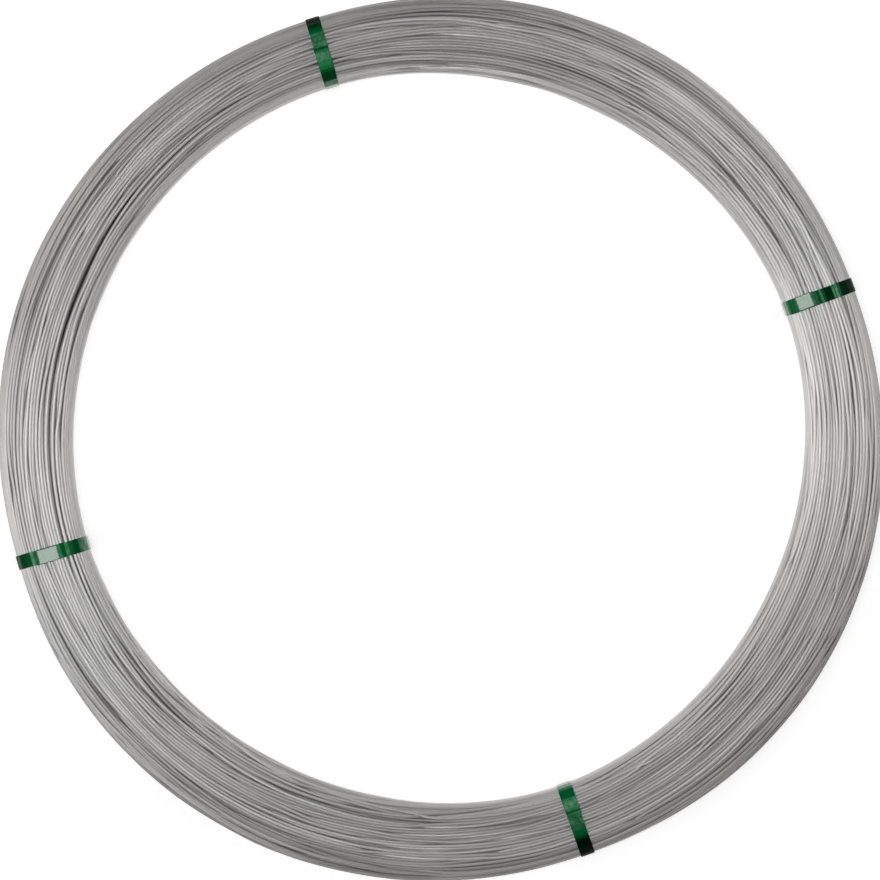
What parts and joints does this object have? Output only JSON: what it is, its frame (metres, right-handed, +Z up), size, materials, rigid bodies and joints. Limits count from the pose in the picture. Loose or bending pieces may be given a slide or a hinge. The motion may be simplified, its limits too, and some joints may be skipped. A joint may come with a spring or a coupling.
{
  "type": "coil of fencing wire",
  "caption": "Flat ring-shaped coil of bright galvanised fencing wire, its turns drawn together by welded plastic straps, with a round eye that drops over a wire dispenser.",
  "frame": {"origin": "on the coil's axis, at the floor that it lies on, under the middle of its box", "axes": "+Z up along the coil's axis; +X and +Y across the coil as it is seen from above"},
  "size_m": [0.7059, 0.706, 0.047],
  "materials": {
    "galvanised_wire": "bright galvanised, slightly dull",
    "green_strapping": "glossy, smooth"
  },
  "bodies": {
    "root": {"wire_coil": "galvanised_wire", "strap_right": "green_strapping", "strap_top": "green_strapping", "strap_left": "green_strapping", "strap_bottom": "green_strapping"}
  },
  "joints": []
}
